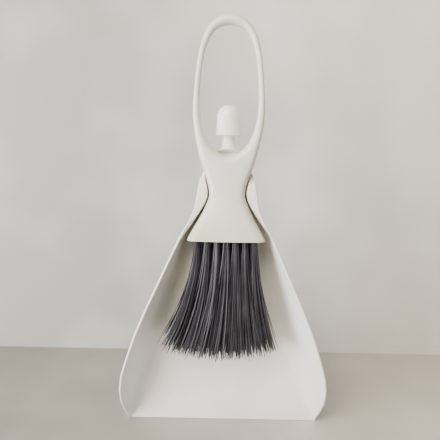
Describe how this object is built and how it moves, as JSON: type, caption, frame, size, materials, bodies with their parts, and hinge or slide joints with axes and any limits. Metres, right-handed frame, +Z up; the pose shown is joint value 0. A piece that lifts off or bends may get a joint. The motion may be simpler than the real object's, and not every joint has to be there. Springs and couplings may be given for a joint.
{
  "type": "hand broom",
  "caption": "Hand broom with a looped handle, flared skirt and dark bristle tufts, clipped into a matching flared dustpan that hangs with it.",
  "frame": {"origin": "hanging point: on the plane of the dustpan's flat back, level with the inside of the loop's top, where a hook comes out of the wall", "axes": "+Z up the handle, +Y from the bristles' front to the flat back, +X to the right seen from the front"},
  "size_m": [0.1744, 0.0375, 0.341],
  "materials": {
    "ivory_plastic": "smooth satin moulding",
    "white_plastic": "smooth satin moulding",
    "block_plastic": "plain moulding",
    "bristle_filament": "dark drawn filament with a soft sheen",
    "anchor_wire": "flat drawn wire"
  },
  "bodies": {
    "broom": {"broom_handle": "ivory_plastic", "bristle_block": "block_plastic", "tuft_anchors": "anchor_wire", "tuft_01": "bristle_filament", "tuft_02": "bristle_filament", "tuft_03": "bristle_filament", "tuft_04": "bristle_filament", "tuft_05": "bristle_filament", "tuft_06": "bristle_filament", "tuft_07": "bristle_filament", "tuft_08": "bristle_filament", "tuft_09": "bristle_filament", "tuft_10": "bristle_filament", "tuft_11": "bristle_filament", "tuft_12": "bristle_filament", "tuft_13": "bristle_filament", "tuft_14": "bristle_filament", "tuft_15": "bristle_filament", "tuft_16": "bristle_filament", "tuft_17": "bristle_filament", "tuft_18": "bristle_filament", "tuft_19": "bristle_filament", "tuft_20": "bristle_filament"},
    "dustpan": {"dustpan": "white_plastic"}
  },
  "joints": [
    {"name": "dustpan_slide", "type": "slide", "parent": "broom", "child": "dustpan", "axis": [0, 1, 0], "range_m": [0, 0.12]}
  ]
}
